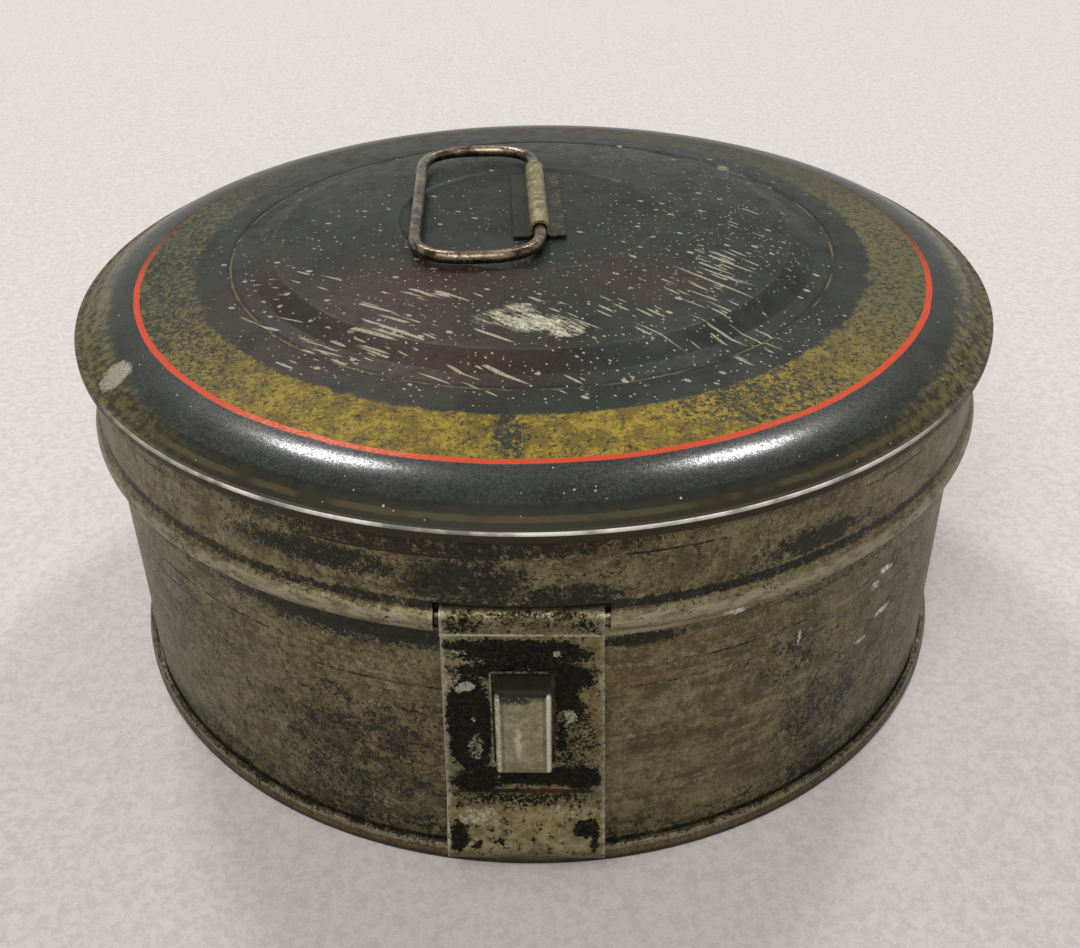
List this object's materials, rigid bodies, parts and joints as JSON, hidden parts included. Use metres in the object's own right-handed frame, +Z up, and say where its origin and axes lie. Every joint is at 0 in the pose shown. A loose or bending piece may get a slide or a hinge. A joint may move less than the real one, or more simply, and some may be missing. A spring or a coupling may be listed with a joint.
{
  "type": "hinged spice tin",
  "caption": "Round hinged tin for spices with a stepped lid, loose wire handle and slotted hasp over a staple, holding small lidded canisters.",
  "frame": {"origin": "on the drum's axis, in the plane that the foot stands on", "axes": "+Z up along the drum's axis; -Y towards the hasp at the front, +Y towards the hinge; +X to the right seen from the front"},
  "size_m": [0.184, 0.186, 0.0918],
  "materials": {
    "lid_japanning": "worn glossy black japanning on tinplate",
    "drum_japanning": "olive grey japanning, blotched and worn to brown",
    "hasp_japanning": "worn black japanning with bare edges",
    "handle_tinplate": "olive worn japanning",
    "bare_tinplate": "dull bare tinplate",
    "brown_wire": "dull brown iron wire",
    "canister_tinplate": "dull tinplate"
  },
  "bodies": {
    "tin": {"body_wall": "drum_japanning", "body_bottom": "drum_japanning", "hinge_leaf": "drum_japanning", "hasp_staple": "bare_tinplate"},
    "lid": {"lid_top": "lid_japanning", "lid_skirt": "drum_japanning", "lid_rim_wire": "brown_wire", "handle_strap": "handle_tinplate"},
    "hasp": {"hasp": "hasp_japanning"},
    "bail": {"handle_bail": "brown_wire"},
    "spice_can_1": {"spice_can_1_wall": "canister_tinplate", "spice_can_1_bottom": "canister_tinplate"},
    "spice_can_2": {"spice_can_2_wall": "canister_tinplate", "spice_can_2_bottom": "canister_tinplate"},
    "spice_can_3": {"spice_can_3_wall": "canister_tinplate", "spice_can_3_bottom": "canister_tinplate"},
    "spice_can_4": {"spice_can_4_wall": "canister_tinplate", "spice_can_4_bottom": "canister_tinplate"},
    "spice_can_5": {"spice_can_5_wall": "canister_tinplate", "spice_can_5_bottom": "canister_tinplate"},
    "spice_can_6": {"spice_can_6_wall": "canister_tinplate", "spice_can_6_bottom": "canister_tinplate"},
    "spice_can_7": {"spice_can_7_wall": "canister_tinplate", "spice_can_7_bottom": "canister_tinplate"},
    "spice_lid_1": {"spice_can_1_lid": "canister_tinplate"},
    "spice_lid_2": {"spice_can_2_lid": "canister_tinplate"},
    "spice_lid_3": {"spice_can_3_lid": "canister_tinplate"},
    "spice_lid_4": {"spice_can_4_lid": "canister_tinplate"},
    "spice_lid_5": {"spice_can_5_lid": "canister_tinplate"},
    "spice_lid_6": {"spice_can_6_lid": "canister_tinplate"},
    "spice_lid_7": {"spice_can_7_lid": "canister_tinplate"}
  },
  "joints": [
    {"name": "lid_hinge", "type": "hinge", "parent": "tin", "child": "lid", "pos_m": [0, 0.088, 0.0565], "axis": [-1, 0, 0], "range_deg": [0, 125]},
    {"name": "hasp_swing", "type": "hinge", "parent": "lid", "child": "hasp", "pos_m": [0, -0.088, 0.0565], "axis": [-1, 0, 0], "range_deg": [0, 115]},
    {"name": "bail_swing", "type": "hinge", "parent": "lid", "child": "bail", "pos_m": [0.0013, 0.005, 0.08985], "axis": [-0.0523, 0.9986, 0], "range_deg": [0, 180]},
    {"name": "spice_can_1_lift", "type": "slide", "parent": "tin", "child": "spice_can_1", "axis": [0, 0, 1], "range_m": [0, 0.008]},
    {"name": "spice_can_2_lift", "type": "slide", "parent": "tin", "child": "spice_can_2", "axis": [0, 0, 1], "range_m": [0, 0.008]},
    {"name": "spice_can_3_lift", "type": "slide", "parent": "tin", "child": "spice_can_3", "axis": [0, 0, 1], "range_m": [0, 0.008]},
    {"name": "spice_can_4_lift", "type": "slide", "parent": "tin", "child": "spice_can_4", "axis": [0, 0, 1], "range_m": [0, 0.008]},
    {"name": "spice_can_5_lift", "type": "slide", "parent": "tin", "child": "spice_can_5", "axis": [0, 0, 1], "range_m": [0, 0.008]},
    {"name": "spice_can_6_lift", "type": "slide", "parent": "tin", "child": "spice_can_6", "axis": [0, 0, 1], "range_m": [0, 0.008]},
    {"name": "spice_can_7_lift", "type": "slide", "parent": "tin", "child": "spice_can_7", "axis": [0, 0, 1], "range_m": [0, 0.008]},
    {"name": "spice_lid_1_pull", "type": "slide", "parent": "spice_can_1", "child": "spice_lid_1", "axis": [0, 0, 1], "range_m": [0, 0.008]},
    {"name": "spice_lid_2_pull", "type": "slide", "parent": "spice_can_2", "child": "spice_lid_2", "axis": [0, 0, 1], "range_m": [0, 0.008]},
    {"name": "spice_lid_3_pull", "type": "slide", "parent": "spice_can_3", "child": "spice_lid_3", "axis": [0, 0, 1], "range_m": [0, 0.008]},
    {"name": "spice_lid_4_pull", "type": "slide", "parent": "spice_can_4", "child": "spice_lid_4", "axis": [0, 0, 1], "range_m": [0, 0.008]},
    {"name": "spice_lid_5_pull", "type": "slide", "parent": "spice_can_5", "child": "spice_lid_5", "axis": [0, 0, 1], "range_m": [0, 0.008]},
    {"name": "spice_lid_6_pull", "type": "slide", "parent": "spice_can_6", "child": "spice_lid_6", "axis": [0, 0, 1], "range_m": [0, 0.008]},
    {"name": "spice_lid_7_pull", "type": "slide", "parent": "spice_can_7", "child": "spice_lid_7", "axis": [0, 0, 1], "range_m": [0, 0.008]}
  ]
}
